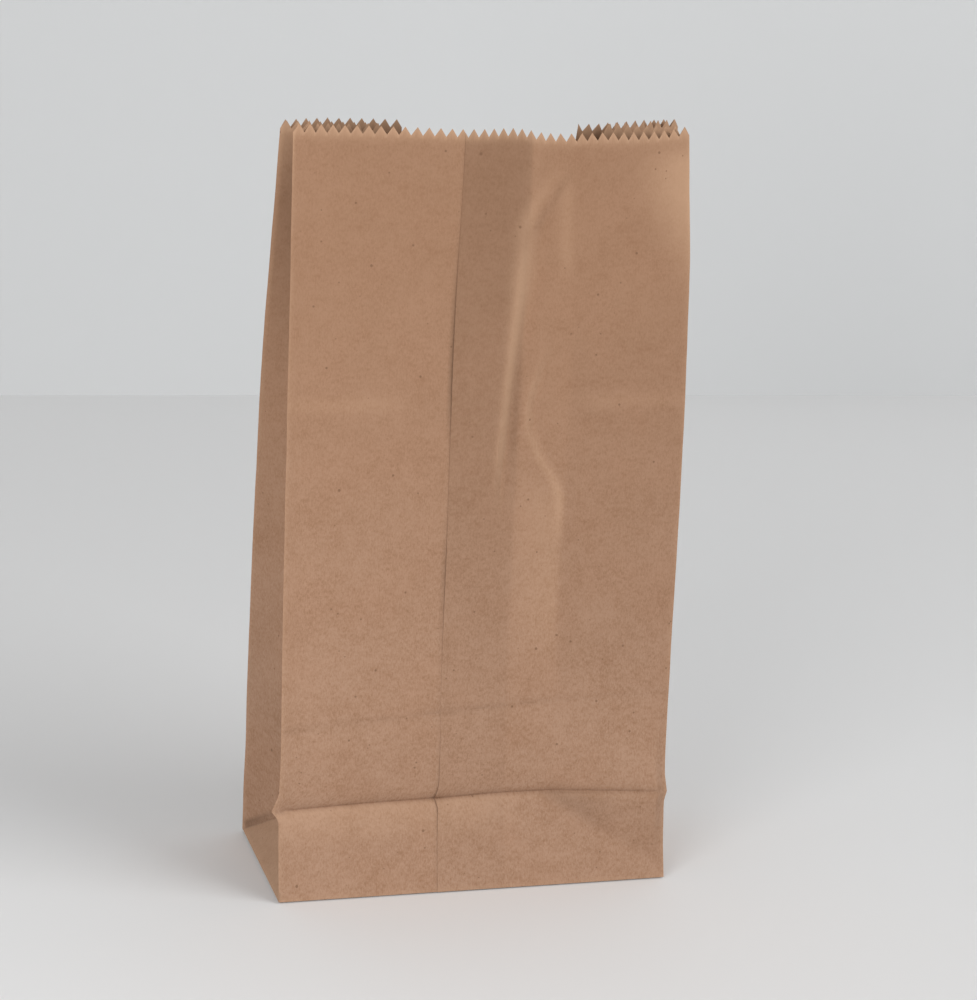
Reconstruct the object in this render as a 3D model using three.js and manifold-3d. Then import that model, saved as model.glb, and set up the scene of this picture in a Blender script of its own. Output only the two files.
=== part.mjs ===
// A brown paper lunch bag standing open on its flat bottom. One sheet of kraft paper is folded into a
// gusseted tube, glued along a lap on its front and closed by folded bottom flaps, so it is one body.
import * as THREE from 'three';
import { ConvexGeometry } from 'three/addons/geometries/ConvexGeometry.js';
import { mergeVertices } from 'three/addons/utils/BufferGeometryUtils.js';
import Module from 'manifold-3d';

// Overall sizes in millimetres: Z is up and the lapped front faces -Y
const FACE_WIDTH = 130;
const BASE_DEPTH = 62;
const HEIGHT = 248;
const PAPER = 0.12;

// How far the front and the back lean in from the base's edges at each fold line
const FRONT_IN_AT_CREASE = 4.5;
const FRONT_IN_AT_PRINT = 5;
const FRONT_IN_AT_FOLD = 8.5;
const FRONT_IN_AT_MOUTH = 15;
const BACK_IN_AT_CREASE = 1;
const BACK_IN_AT_PRINT = 2;
const BACK_IN_AT_FOLD = 9.5;
const MOUTH_GAP = 20;
const FOLD_HEIGHT = 160;

// The glued lap, which runs up the front with its free edge to the left
const LAP_FREE_X = -13;
const LAP_WIDTH = 23;

// The bottom's flaps are folded from the long edges and end this far past the middle
const FLAP_OVERLAP = 8;

// The saw-toothed mouth and the thumb notch in the back face
const TOOTH_PITCH = 3.5;
const TOOTH_HEIGHT = 2.6;
const NOTCH_WIDTH = 56;
const NOTCH_DEPTH = 12;
const NOTCH_X = 4;
const NOTCH_CORNER = 4;

// The walls stand this far above the teeth before the mouth is cut, and cutters reach this far past paper
const TRIM = 4;
const REACH = 3;

// Fold lines that follow from how the flat bag is folded: the bottom turns up by half its depth
const GUSSET_HALF = BASE_DEPTH / 2;
const CREASE_HEIGHT = GUSSET_HALF;
const PRINT_HEIGHT = BASE_DEPTH;
const HALF_WIDTH = FACE_WIDTH / 2;
const FRONT_Y = -BASE_DEPTH / 2;
const BACK_Y = BASE_DEPTH / 2;
const FRONT_MOUTH_Y = FRONT_Y + FRONT_IN_AT_MOUTH;
const BACK_MOUTH_Y = FRONT_MOUTH_Y + MOUTH_GAP;

// The bottom's layers begin inside the paper of the walls that they turn in from
const BOTTOM_INSET = PAPER / 2;

const wasm = await Module();
wasm.setup();

// A closed geometry as a solid that can be joined and cut
function solidOf(geometry) {
  geometry.deleteAttribute('normal');
  geometry.deleteAttribute('uv');
  const merged = mergeVertices(geometry);
  const vertProperties = new Float32Array(merged.getAttribute('position').array);
  const triVerts = new Uint32Array(merged.index.array);
  return new wasm.Manifold(new wasm.Mesh({ numProp: 3, vertProperties, triVerts }));
}

// The step from an outline's corner to its twin one paper thickness inside, the outline running anticlockwise
function mitre(before, corner, after) {
  const arriving = corner.clone().sub(before).normalize();
  const leaving = after.clone().sub(corner).normalize();
  const firstNormal = new THREE.Vector2(-arriving.y, arriving.x);
  const secondNormal = new THREE.Vector2(-leaving.y, leaving.x);
  const scale = PAPER / (1 + firstNormal.dot(secondNormal));
  return firstNormal.add(secondNormal).multiplyScalar(scale);
}

// A fold point: where it lies on the outside of the paper and on the inside
function foldPoint(x, y, z, inward) {
  const outer = new THREE.Vector3(x, y, z);
  const inner = new THREE.Vector3(x + inward.x, y + inward.y, z);
  return { outer, inner };
}

// All fold points at one height. Each gusset half keeps its width, so its middle tucks in as the faces close
function ringAt(z, frontY, backY) {
  const halfGap = (backY - frontY) / 2;
  const tuck = Math.sqrt(GUSSET_HALF ** 2 - halfGap ** 2);
  const middleY = (frontY + backY) / 2;
  const outline = {
    frontLeft: new THREE.Vector2(-HALF_WIDTH, frontY),
    frontRight: new THREE.Vector2(HALF_WIDTH, frontY),
    tuckRight: new THREE.Vector2(HALF_WIDTH - tuck, middleY),
    backRight: new THREE.Vector2(HALF_WIDTH, backY),
    backLeft: new THREE.Vector2(-HALF_WIDTH, backY),
    tuckLeft: new THREE.Vector2(tuck - HALF_WIDTH, middleY),
  };
  const names = Object.keys(outline);
  const ring = {};
  names.forEach((name, i) => {
    const before = outline[names.at(i - 1)];
    const after = outline[names[(i + 1) % names.length]];
    const inward = mitre(before, outline[name], after);
    ring[name] = foldPoint(outline[name].x, outline[name].y, z, inward);
  });
  const throughFront = new THREE.Vector2(0, PAPER);
  ring.lapFree = foldPoint(LAP_FREE_X, frontY - PAPER, z, throughFront);
  ring.lapHidden = foldPoint(LAP_FREE_X + LAP_WIDTH, frontY, z, throughFront);
  return ring;
}

// A flat facet of the sheet, with its edges mitred to meet its neighbours
function facet(...points) {
  const corners = points.flatMap((point) => [point.outer, point.inner]);
  return solidOf(new ConvexGeometry(corners));
}

// A four-sided stretch of sheet, as two facets so that it may twist slightly
function stretch(a, b, c, d) {
  return facet(a, b, c).add(facet(a, c, d));
}

// The lapped front between two heights: the right-hand layer lies over the left-hand one
function frontBand(lower, upper) {
  const under = stretch(lower.frontLeft, lower.lapHidden, upper.lapHidden, upper.frontLeft);
  const over = stretch(lower.lapFree, lower.frontRight, upper.frontRight, upper.lapFree);
  return under.add(over);
}

function backBand(lower, upper) {
  return stretch(lower.backRight, lower.backLeft, upper.backLeft, upper.backRight);
}

// One side's gusset between two heights, in its front and back halves
function gussetBand(lower, upper, side) {
  const [front, tuck, back] = [`front${side}`, `tuck${side}`, `back${side}`];
  const frontHalf = stretch(lower[front], lower[tuck], upper[tuck], upper[front]);
  const backHalf = stretch(lower[tuck], lower[back], upper[back], upper[tuck]);
  return frontHalf.add(backHalf);
}

// Below the crease a gusset is three triangles that meet where its middle fold ends
function gussetFoot(base, crease, side) {
  const [front, tuck, back] = [`front${side}`, `tuck${side}`, `back${side}`];
  const footTriangle = facet(base[front], base[back], crease[tuck]);
  const frontTriangle = facet(base[front], crease[front], crease[tuck]);
  const backTriangle = facet(base[back], crease[back], crease[tuck]);
  return footTriangle.add(frontTriangle).add(backTriangle);
}

// A flat layer of the bottom with this outline, from one height to another
function bottomLayer(corners, fromZ, toZ) {
  const outline = new THREE.Shape(corners.map(([x, y]) => new THREE.Vector2(x, y)));
  const geometry = new THREE.ExtrudeGeometry(outline, { depth: toZ - fromZ, bevelEnabled: false });
  geometry.translate(0, 0, fromZ);
  return solidOf(geometry);
}

// A bottom flap's outline from the long edge it is folded from: its ends slant in at 45 degrees
function flapOutline(foldedY) {
  const towardsMiddle = -Math.sign(foldedY);
  const rootY = foldedY + towardsMiddle * BOTTOM_INSET;
  const rootHalf = HALF_WIDTH - BOTTOM_INSET;
  const freeY = towardsMiddle * FLAP_OVERLAP;
  const freeHalf = rootHalf - Math.abs(freeY - rootY);
  return [[-rootHalf, rootY], [-freeHalf, freeY], [freeHalf, freeY], [rootHalf, rootY]];
}

// The folded bottom: the back flap is outside, and the front flap and both end tucks are glued down on it
function foldedBottom() {
  const outerX = HALF_WIDTH - BOTTOM_INSET;
  const innerX = HALF_WIDTH - GUSSET_HALF - FLAP_OVERLAP;
  const sideY = BACK_Y - BOTTOM_INSET;
  const endTuck = [[innerX, -sideY], [outerX, -sideY], [outerX, sideY], [innerX, sideY]];
  const otherEndTuck = endTuck.map(([x, y]) => [-x, y]);
  const gluedZ = PAPER / 2;
  const innerTop = 2 * PAPER;
  return bottomLayer(flapOutline(BACK_Y), 0, PAPER)
    .add(bottomLayer(flapOutline(FRONT_Y), gluedZ, innerTop))
    .add(bottomLayer(endTuck, gluedZ, innerTop))
    .add(bottomLayer(otherEndTuck, gluedZ, innerTop));
}

// A cutter with this outline in X and Z that runs from one Y to another
function cutterAlongY(outline, fromY, toY) {
  const geometry = new THREE.ExtrudeGeometry(outline, { depth: toY - fromY, bevelEnabled: false });
  geometry.rotateX(Math.PI / 2);
  geometry.translate(0, toY, 0);
  return solidOf(geometry);
}

// Everything above the saw-toothed line, which is cut through all the layers at once
function mouthCutter() {
  const count = Math.round(FACE_WIDTH / TOOTH_PITCH);
  const pitch = FACE_WIDTH / count;
  const top = HEIGHT + TRIM + REACH;
  const outline = new THREE.Shape();
  outline.moveTo(-HALF_WIDTH - REACH, top);
  outline.lineTo(-HALF_WIDTH - REACH, HEIGHT - TOOTH_HEIGHT);
  for (let tooth = 0; tooth < count; tooth += 1) {
    const left = -HALF_WIDTH + tooth * pitch;
    outline.lineTo(left, HEIGHT - TOOTH_HEIGHT);
    outline.lineTo(left + pitch / 2, HEIGHT);
  }
  outline.lineTo(HALF_WIDTH, HEIGHT - TOOTH_HEIGHT);
  outline.lineTo(HALF_WIDTH + REACH, HEIGHT - TOOTH_HEIGHT);
  outline.lineTo(HALF_WIDTH + REACH, top);
  return cutterAlongY(outline, FRONT_Y, BACK_Y);
}

// The thumb notch, which reaches only through the back face
function notchCutter() {
  const left = NOTCH_X - NOTCH_WIDTH / 2;
  const right = NOTCH_X + NOTCH_WIDTH / 2;
  const floor = HEIGHT - NOTCH_DEPTH;
  const top = HEIGHT + REACH;
  const outline = new THREE.Shape();
  outline.moveTo(left, top);
  outline.lineTo(left, floor + NOTCH_CORNER);
  outline.absarc(left + NOTCH_CORNER, floor + NOTCH_CORNER, NOTCH_CORNER, Math.PI, 1.5 * Math.PI);
  outline.absarc(right - NOTCH_CORNER, floor + NOTCH_CORNER, NOTCH_CORNER, 1.5 * Math.PI, 2 * Math.PI);
  outline.lineTo(right, top);
  return cutterAlongY(outline, BACK_MOUTH_Y - REACH, BACK_Y);
}

// Where the wall's last stretch would be at the trimmed height, on the line from the fold through the mouth
function carriedOn(foldY, mouthY) {
  return mouthY + ((mouthY - foldY) * TRIM) / (HEIGHT - FOLD_HEIGHT);
}

function bagSolid() {
  const frontFoldY = FRONT_Y + FRONT_IN_AT_FOLD;
  const backFoldY = BACK_Y - BACK_IN_AT_FOLD;
  const base = ringAt(0, FRONT_Y, BACK_Y);
  const crease = ringAt(CREASE_HEIGHT, FRONT_Y + FRONT_IN_AT_CREASE, BACK_Y - BACK_IN_AT_CREASE);
  const print = ringAt(PRINT_HEIGHT, FRONT_Y + FRONT_IN_AT_PRINT, BACK_Y - BACK_IN_AT_PRINT);
  const fold = ringAt(FOLD_HEIGHT, frontFoldY, backFoldY);
  const frontTopY = carriedOn(frontFoldY, FRONT_MOUTH_Y);
  const backTopY = carriedOn(backFoldY, BACK_MOUTH_Y);
  const top = ringAt(HEIGHT + TRIM, frontTopY, backTopY);
  const rings = [base, crease, print, fold, top];
  let bag = foldedBottom();
  for (const side of ['Left', 'Right']) {
    bag = bag.add(gussetFoot(base, crease, side));
  }
  rings.slice(1).forEach((upper, i) => {
    const lower = rings[i];
    bag = bag.add(frontBand(lower, upper)).add(backBand(lower, upper));
    if (lower !== base) {
      bag = bag.add(gussetBand(lower, upper, 'Left')).add(gussetBand(lower, upper, 'Right'));
    }
  });
  return bag.subtract(mouthCutter()).subtract(notchCutter());
}

// The finished solid as a named mesh
function meshOf(solid, name, material) {
  const { vertProperties, triVerts } = solid.getMesh();
  const geometry = new THREE.BufferGeometry();
  geometry.setAttribute('position', new THREE.BufferAttribute(vertProperties, 3));
  geometry.setIndex(new THREE.BufferAttribute(triVerts, 1));
  geometry.computeVertexNormals();
  const mesh = new THREE.Mesh(geometry, material);
  mesh.name = name;
  return mesh;
}

const kraftPaper = new THREE.MeshStandardMaterial({ color: 0xb08968, roughness: 0.85, metalness: 0 });

const group = new THREE.Group();
group.add(meshOf(bagSolid(), 'paper_bag', kraftPaper));

export default group;
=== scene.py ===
# %% [markdown]
# # A brown paper lunch bag
# The real thing is one sheet of kraft paper. A machine folds it into a tube with pleated sides, glues it
# along a lap on the front, closes one end with folded flaps and cuts the other end with a toothed blade.
# This script folds the same sheet from numbers, so there is one piece here, as there is one piece of paper.

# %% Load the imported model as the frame
import math

import bpy
import numpy as np
from mathutils import Matrix, Vector


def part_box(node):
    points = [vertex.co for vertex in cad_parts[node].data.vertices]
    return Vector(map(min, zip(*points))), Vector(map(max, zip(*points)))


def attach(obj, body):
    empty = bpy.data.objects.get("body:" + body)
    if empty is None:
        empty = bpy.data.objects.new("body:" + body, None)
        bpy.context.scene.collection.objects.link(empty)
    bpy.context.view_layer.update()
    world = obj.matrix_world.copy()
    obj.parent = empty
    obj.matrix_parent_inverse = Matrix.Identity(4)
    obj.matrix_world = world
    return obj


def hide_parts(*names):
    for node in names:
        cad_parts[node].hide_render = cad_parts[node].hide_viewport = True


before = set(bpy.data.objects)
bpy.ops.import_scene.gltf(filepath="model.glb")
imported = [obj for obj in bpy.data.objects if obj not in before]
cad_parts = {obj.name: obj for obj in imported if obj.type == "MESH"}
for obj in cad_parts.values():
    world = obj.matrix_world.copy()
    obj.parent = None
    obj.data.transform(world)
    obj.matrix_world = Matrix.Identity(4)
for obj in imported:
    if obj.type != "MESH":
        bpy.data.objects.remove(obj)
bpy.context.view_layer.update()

# %% [markdown]
# ## The sheet's sizes
# The frame gives the bag's width and height, and half its depth is the width of each half of a side pleat.
# Lengths here are in millimetres, because paper is easier to think about that way, and become metres when
# the mesh is made. The mouth has whole teeth across the face, and the columns of the front are a quarter of
# a tooth apart. The lap's free edge and the edge hidden under it are counted in those columns from the left.

# %% Sizes
MM = 0.001
low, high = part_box("paper_bag")
HALF_WIDTH = (high.x - low.x) / 2 / MM
HEIGHT = (high.z - low.z) / MM
HALF_DEPTH = 31.0
CREASE = HALF_DEPTH
PAPER = 0.08
TEETH = 37
TOOTH_HEIGHT = 2.6
QUARTER_TOOTH = 2 * HALF_WIDTH / TEETH / 4
MOUTH = HEIGHT - TOOTH_HEIGHT
NOTCH_DEPTH = 12
NOTCH_FLOOR = HEIGHT - NOTCH_DEPTH
LAP_FREE = 59
LAP_HIDDEN = 85
print(f"face {2 * HALF_WIDTH:.0f} mm wide and {HEIGHT:.0f} mm tall, teeth {4 * QUARTER_TOOTH:.2f} mm apart")

# %% [markdown]
# ## The camera
# The photograph was taken from in front, a little to the left and above, with a long lens. Putting the
# camera in first means that every later step can be compared with the photograph straight away.

# %% Camera
EYE = Vector((-0.2360, -0.8444, 0.3637))
YAW, PITCH, ROLL = (math.radians(angle) for angle in (16.07, 15.3, 2.74))
SENSOR_WIDTH, LENS = 36, 100.8
forward = Vector((math.sin(YAW) * math.cos(PITCH), math.cos(YAW) * math.cos(PITCH), -math.sin(PITCH)))
level = Vector((math.cos(YAW), -math.sin(YAW), 0))
above = level.cross(forward)
right = math.cos(ROLL) * level + math.sin(ROLL) * above
upward = math.cos(ROLL) * above - math.sin(ROLL) * level
camera_data = bpy.data.cameras.new("camera")
camera_data.sensor_width = SENSOR_WIDTH
camera_data.lens = LENS
camera = bpy.data.objects.new("camera", camera_data)
camera.matrix_world = Matrix((right, upward, -forward)).transposed().to_4x4()
camera.location = EYE
bpy.context.scene.collection.objects.link(camera)
bpy.context.scene.camera = camera
print("camera at", tuple(EYE))

# %% [markdown]
# ## The rows and columns of the sheet
# The sheet is a strip that starts at the lap's free edge and runs round the bag: the right part of the
# front, the right pleat, the back, the left pleat and the left part of the front, which ends under the lap.
# Rows are close together where the paper turns sharply: at the crease, at the fold marks and at the mouth.
# Below the crease the rows are as far apart as the pleat's columns, so that the diagonal folds of the foot
# run from corner to corner of the mesh. Above it each band of rows has a start, an end and a distance.

# %% Rows and columns
PLEAT_STEPS = 18
BACK_STEPS = 2 * TEETH
FOOT_ROWS = PLEAT_STEPS - 2
CREASE_BAND, CREASE_ROWS = 3.6, 13
NOTCH_ROWS = 9
ROW_BANDS = [
    (CREASE + 5, 58, 1.9), (58.5, 66, 0.9), (67, 150, 2.05), (151, 169, 1.3), (170, NOTCH_FLOOR - 1, 2.0),
]
rows = np.concatenate([
    np.linspace(0, CREASE, PLEAT_STEPS + 1)[:FOOT_ROWS],
    np.linspace(CREASE - CREASE_BAND, CREASE + CREASE_BAND, CREASE_ROWS),
    *(np.arange(*band) for band in ROW_BANDS),
    np.linspace(NOTCH_FLOOR, MOUTH, NOTCH_ROWS),
])
front_x = -HALF_WIDTH + QUARTER_TOOTH * np.arange(4 * TEETH + 1)
over_x = front_x[LAP_FREE:]
under_x = front_x[1:LAP_HIDDEN + 1]
pleat_out = np.arange(1, PLEAT_STEPS + 1) / PLEAT_STEPS
back_part = np.arange(1, BACK_STEPS + 1) / BACK_STEPS
print(f"{len(rows)} rows")

# %% [markdown]
# ## The long folds
# Four long folds are the upright edges of the bag. Nobody stands a paper bag up square: the front leans
# back, the back comes forward to meet it at the mouth, and each corner does so by its own amount. So each
# edge is a smooth curve through a few points, and its height follows from the fact that paper doesn't
# stretch: a stretch that leans over reaches less far up. Each point is (length up the paper, x, y).

# %% Curves of the upright folds
def through(knots, at):
    """A smooth curve through (place, value) knots, read at many places and level past its ends."""
    place, value = np.array(knots, float).T
    slope = np.gradient(value, place)
    i = np.clip(np.searchsorted(place, at) - 1, 0, len(place) - 2)
    span = place[i + 1] - place[i]
    t = np.clip((at - place[i]) / span, 0, 1)
    start = (1 + 2 * t) * (1 - t) ** 2 * value[i] + t * (1 - t) ** 2 * span * slope[i]
    end = t * t * (3 - 2 * t) * value[i + 1] + t * t * (t - 1) * span * slope[i + 1]
    return start + end


FINE_POINTS = 985
POKE_BELOW, POKE_ABOVE, POKE_SHARPNESS = 3.6, 6.5, 1.3


def upright(knots, foot_lift=0.0, poke=0.0, poke_at=CREASE):
    """One upright fold: a point for every row.

    Where the crease is pressed in, the corner pokes out sideways by a sharp little amount."""
    fine = np.linspace(0, HEIGHT, FINE_POINTS)
    length, x, y = np.array(knots, float).T
    across = through(np.stack([length, x], 1), fine)
    deep = through(np.stack([length, y], 1), fine)
    climb = np.sqrt(np.diff(fine) ** 2 - np.diff(across) ** 2 - np.diff(deep) ** 2)
    tall = foot_lift + np.concatenate([[0], np.cumsum(climb)])
    from_poke = fine - poke_at
    reach = np.where(from_poke < 0, POKE_BELOW, POKE_ABOVE)
    across = across + poke * np.clip(1 - np.abs(from_poke) / reach, 0, 1) ** POKE_SHARPNESS
    return np.stack([np.interp(rows, fine, line) for line in (across, deep, tall)], 1)


front_left = upright([
    (0, -65, -31), (8, -65, -29.6), (27, -65, -27), (31, -65, -26.8), (38, -65, -27.2),
    (48, -65, -27.8), (71, -65, -26.4), (100, -65, -24.9), (129, -65, -23.6), (164, -64.9, -22.4),
    (195, -64.6, -20), (225, -64.2, -17), (248, -64, -15),
], foot_lift=0.3, poke=-2.4, poke_at=29.8)
front_right = upright([
    (0, 65, -31), (9, 65, -28.9), (26, 65, -26.5), (31, 65, -26.2), (36, 65, -25.4),
    (60, 65, -24.2), (94, 65, -23.3), (128, 65, -22.7), (161, 65, -21.2), (193, 65, -18.6),
    (209, 65, -16.6), (224, 64.9, -13.6), (248, 64.8, -9),
], foot_lift=0.3, poke=0.9, poke_at=29.0)
back_left = upright([
    (0, -65.3, 31.2), (17, -65.2, 31.4), (31, -65.1, 30.2), (47, -65, 30.4), (83, -65, 28.8),
    (119, -65, 25.4), (153, -65, 21.6), (187, -65, 14.8), (221, -64.8, 6.4), (248, -64.4, 1.8),
], foot_lift=0.7)
back_right = upright([
    (0, 65, 31), (31, 65, 30), (62, 65, 29), (100, 65, 27), (140, 65, 23), (180, 65.3, 16),
    (215, 66.4, 11), (248, 67.6, 9),
])
for name, fold in (("left", front_left), ("right", front_right)):
    print("front", name, "corner of the mouth at", fold[-1].round(1))
for name, fold in (("left", back_left), ("right", back_right)):
    print("back", name, "corner of the mouth at", fold[-1].round(1))

# %% [markdown]
# ## The side pleats
# Each side is folded inwards along its middle. Both halves keep their width, so the middle fold goes in
# further where the front and the back are closer together. Below the crease the pleat opens out into the
# foot: two diagonal folds run from the corners of the base up to the point where the middle fold ends. On
# the left that point has been pressed in and down, and on the right the mouth has been pulled a little.

# %% Middle folds and pleats
PRESSED_BELOW = 75
PRESSED = np.array([8.0, 0.0, -11.0])
MOUTH_REACH = 45
MOUTH_PULL = np.array([2.0, -3.0, 0.0])
NEARLY_NOTHING = 1e-6


def mix(a, b, t):
    return a + (b - a) * t


def middle_fold(front, back, inward):
    """The fold in the middle of a side, tucked in as far as the width of the paper allows."""
    gap = np.linalg.norm(back - front, axis=1)
    tuck = np.sqrt(np.maximum(HALF_DEPTH ** 2 - (gap / 2) ** 2, 1))
    middle = (front + back) / 2
    middle[:, 0] += inward * tuck
    return middle


def pleat_half(edge, middle, other_foot, share):
    """Half a pleat from its upright edge (share 0) to its middle fold (share 1)."""
    height = np.minimum(rows / CREASE, 1)[:, None]
    apex = np.array([np.interp(CREASE, rows, middle[:, k]) for k in range(3)])
    diagonal = mix(edge[0], apex, height)
    centre = mix((edge[0] + other_foot) / 2, apex, height)
    centre = np.where(rows[:, None] < CREASE, centre, middle)
    diagonal = np.where(rows[:, None] < CREASE, diagonal, middle)
    share = share[None, :, None]
    height = height[:, :, None]
    near = mix(edge[:, None], diagonal[:, None], share / np.maximum(height, NEARLY_NOTHING))
    past = (share - height) / np.maximum(1 - height, NEARLY_NOTHING)
    far = mix(diagonal[:, None], centre[:, None], past)
    return np.where(share <= height, near, far)


middle_left = middle_fold(front_left, back_left, 1)
pressed = np.clip((PRESSED_BELOW - rows) / (PRESSED_BELOW - CREASE), 0, 1)[:, None] ** 2
middle_left += pressed * PRESSED
middle_right = middle_fold(front_right, back_right, -1)
middle_right += np.exp(-(HEIGHT - rows) / MOUTH_REACH)[:, None] * MOUTH_PULL
to_middle, to_edge = pleat_out, 1 - pleat_out
right_front = pleat_half(front_right, middle_right, back_right[0], to_middle)
right_back = pleat_half(back_right, middle_right, front_right[0], to_edge)
left_back = pleat_half(back_left, middle_left, front_left[0], to_middle)
left_front = pleat_half(front_left, middle_left, back_left[0], to_edge)
print("at the mouth the left middle fold goes in by", (middle_left[-1, 0] + HALF_WIDTH).round(1), "mm")

# %% [markdown]
# ## Tools for marks on the paper
# The front isn't flat, and every mark on it is built from a few soft steps. A mark is a line of (x, height)
# points with a height of its own, and the paper falls away from the line on either side. A ridge is a mark
# with a steep flank and a trough on its right.

# %% Soft steps, marks and ridges
ROUNDED = 0.7


def ease(start, end, at):
    """A soft step from 0 at start to 1 at end."""
    t = np.clip((at - start) / (end - start), 0, 1)
    return t * t * (3 - 2 * t)


def stretch(at, start, full, leave, gone, rest=0.0):
    """0 up to start, 1 from full to leave, and what is left, rest, from gone on."""
    return ease(start, full, at) * (1 - (1 - rest) * ease(leave, gone, at))


def bell(at, centre, width):
    return np.exp(-((at - centre) / width) ** 2)


def fall_off(off, below, above):
    """1 on a line and less and less away from it, with its own reach on either side."""
    return np.exp(np.minimum(off, 0) / below - np.maximum(off, 0) / above)


def line_at(line, v):
    """Where a line of (x, height) points is at many heights."""
    x, height = np.array(sorted(line, key=lambda point: point[1]), float).T
    return np.interp(v, height, x)


def line_ends(line, v, fade):
    """1 along a line, falling to 0 past its ends."""
    low_end, high_end = (end(point[1] for point in line) for end in (min, max))
    return stretch(v, low_end - fade, low_end + fade, high_end - fade, high_end + fade)


def mark(x, v, line, height, left, right, fade=8):
    """A crest, or a dent where the height is negative, that follows a line up the paper."""
    off = x - line_at(line, v)
    reach = np.where(off < 0, left, right)
    profile = np.exp(-(np.sqrt(off ** 2 + ROUNDED ** 2) - ROUNDED) / reach)
    return height * profile * line_ends(line, v, fade)


def ridge(x, v, line, crest, drop, width, recover, approach, fade=8):
    """A crest along a line: a slow climb on its left, a flank on its right, then a trough that fills up.

    The crest, the drop and the width are knots of (height up the paper, size)."""
    crest, drop, width = (through(size, v) for size in (crest, drop, width))
    off = x - line_at(line, v)
    left = crest * np.exp(np.minimum(off, 0) / approach)
    flank = crest - drop * ease(0, 1, off / width)
    trough = (crest - drop) * np.exp(-np.maximum(off - width, 0) / recover)
    right = np.where(off < width, flank, trough)
    return np.where(off < 0, left, right) * line_ends(line, v, fade)


print("tools for marks ready")

# %% [markdown]
# ## The relief of the front
# The crease where the bag was folded flat is a sharp valley in a broad hollow. The folded bottom has printed
# a fine line above it, and handling has raised a ridge from the mouth down to the middle, with a hooked dent
# and smaller marks beside it. All of this is real shape, so it still shows when the light changes.

# %% Marks of the front
FOLD_LINE = [
    (11.2, 262), (11.2, 248), (10.6, 239), (9.2, 226), (7.9, 212), (6.5, 195), (4.6, 178), (3.3, 163),
    (2.5, 150), (1.6, 138), (2, 127),
]
HOOK_LINE = [
    (17, 180), (13.2, 169), (11.4, 161), (11.6, 153), (15.6, 143), (20.3, 136.5), (22.8, 130), (23.2, 117),
]
RIDGES = [
    dict(
        line=FOLD_LINE,
        crest=[(120, 0.5), (160, 1.3), (205, 1.2), (235, 0.5), (248, 0.1)],
        drop=[(120, 0.8), (150, 2.7), (178, 2.5), (205, 2.5), (235, 0.8), (248, 0.2)],
        width=[(120, 2.5), (160, 4.5), (185, 5.5), (205, 7), (248, 9)],
        recover=3.2,
        approach=7,
    ),
    dict(
        line=HOOK_LINE,
        crest=[(115, 0.4), (180, 0.4)],
        drop=[(115, 0.3), (130, 0.6), (142, 1.1), (155, 2.2), (168, 1.8), (180, 0.8)],
        width=[(115, 3.6), (180, 3.6)],
        recover=5,
        approach=3,
    ),
]
STREAK_LINE = [(22, 235), (10, 216)]
SMALL_MARKS = [
    dict(line=[(25, 133), (25.5, 84)], height=-0.6, left=10, right=2),
    dict(line=[(24.5, 236), (24.5, 204)], height=-0.6, left=9, right=2.5),
    dict(line=STREAK_LINE, height=0.6, left=2, right=2.5, fade=4),
    dict(line=[(7, 134), (15, 130), (21, 122), (23, 113.5)], height=0.3, left=2, right=2, fade=3),
    dict(line=[(9.6, 23), (23.5, 15.6)], height=0.25, left=4, right=4, fade=2),
]
CREASE_LINE = [
    (-66, 28.8), (-40, 29.3), (-15, 29.5), (10, 30.1), (25, 30.2), (42, 30.2), (60, 30), (66, 30),
]
PRINT_LINE = [(-65, 56.7), (-12, 59.6), (21, 61.4), (65, 63)]
print(len(RIDGES), "ridges and", len(SMALL_MARKS), "small marks")

# %% [markdown]
# The relief is a sum of such marks and of a few that cross the panel. Each has a depth, and each is read at
# x across the panel and v up the paper.

# %% Relief of the front
HOLLOW_DEPTH, HOLLOW_ABOVE = 1.9, 16
VALLEY_DEPTH, VALLEY_BELOW, VALLEY_ABOVE = 1.8, 2.2, 3.2
SHARP_DEPTH, SHARP_REACH = 0.4, 0.8
NICK_DEPTH, NICK_X, NICK_WIDTH = 0.6, -12, 2.2
BOW_IN, BOW_IN_AT, BOW_IN_REACH = 1.5, 80, 45
BOW_OUT, BOW_OUT_FROM = 2.4, 175
PRINT_DEPTH, PRINT_REACH = 0.55, 1.2
BAND_HEIGHT, BAND_AT, BAND_WIDTH = 0.35, 160.5, 3.2
FOOT_SLOPE, FOOT_ABOVE, FOOT_TOP = 0.2, 9, 70
FOOT_LINE = [(26, 29), (64, 4)]
EDGE_DEPTH, EDGE_X, EDGE_WIDTH = 1.3, 50, 15
FIXED_EDGE = 5


def slant(line, x):
    """The height of a straight line through two (x, height) points."""
    (start_x, start), (end_x, end) = line
    return mix(start, end, (x - start_x) / (end_x - start_x))


def print_strength(x):
    """The line printed by the bottom is fainter on the right."""
    return 1 - 0.7 * ease(15, 45, x)


def band_strength(x):
    """The band across the panel shows at both sides, and less on the right."""
    return ease(-20, -40, x) + 0.8 * ease(26, 36, x)


def crease_relief(x, v):
    """The crease: a broad hollow, a valley in it, and a sharp line that is deepest at the lap."""
    middle = np.clip(1 - (x / HALF_WIDTH) ** 2, 0, 1)
    line = through(CREASE_LINE, x)
    off = v - line
    hollow = np.where(off < 0, np.clip(v / line, 0, 1), fall_off(off, 1, HOLLOW_ABOVE))
    valley = VALLEY_DEPTH * fall_off(off, VALLEY_BELOW, VALLEY_ABOVE)
    sharp = (SHARP_DEPTH + NICK_DEPTH * bell(x, NICK_X, NICK_WIDTH)) * fall_off(off, SHARP_REACH, SHARP_REACH)
    return -HOLLOW_DEPTH * middle * hollow - valley - sharp


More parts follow.
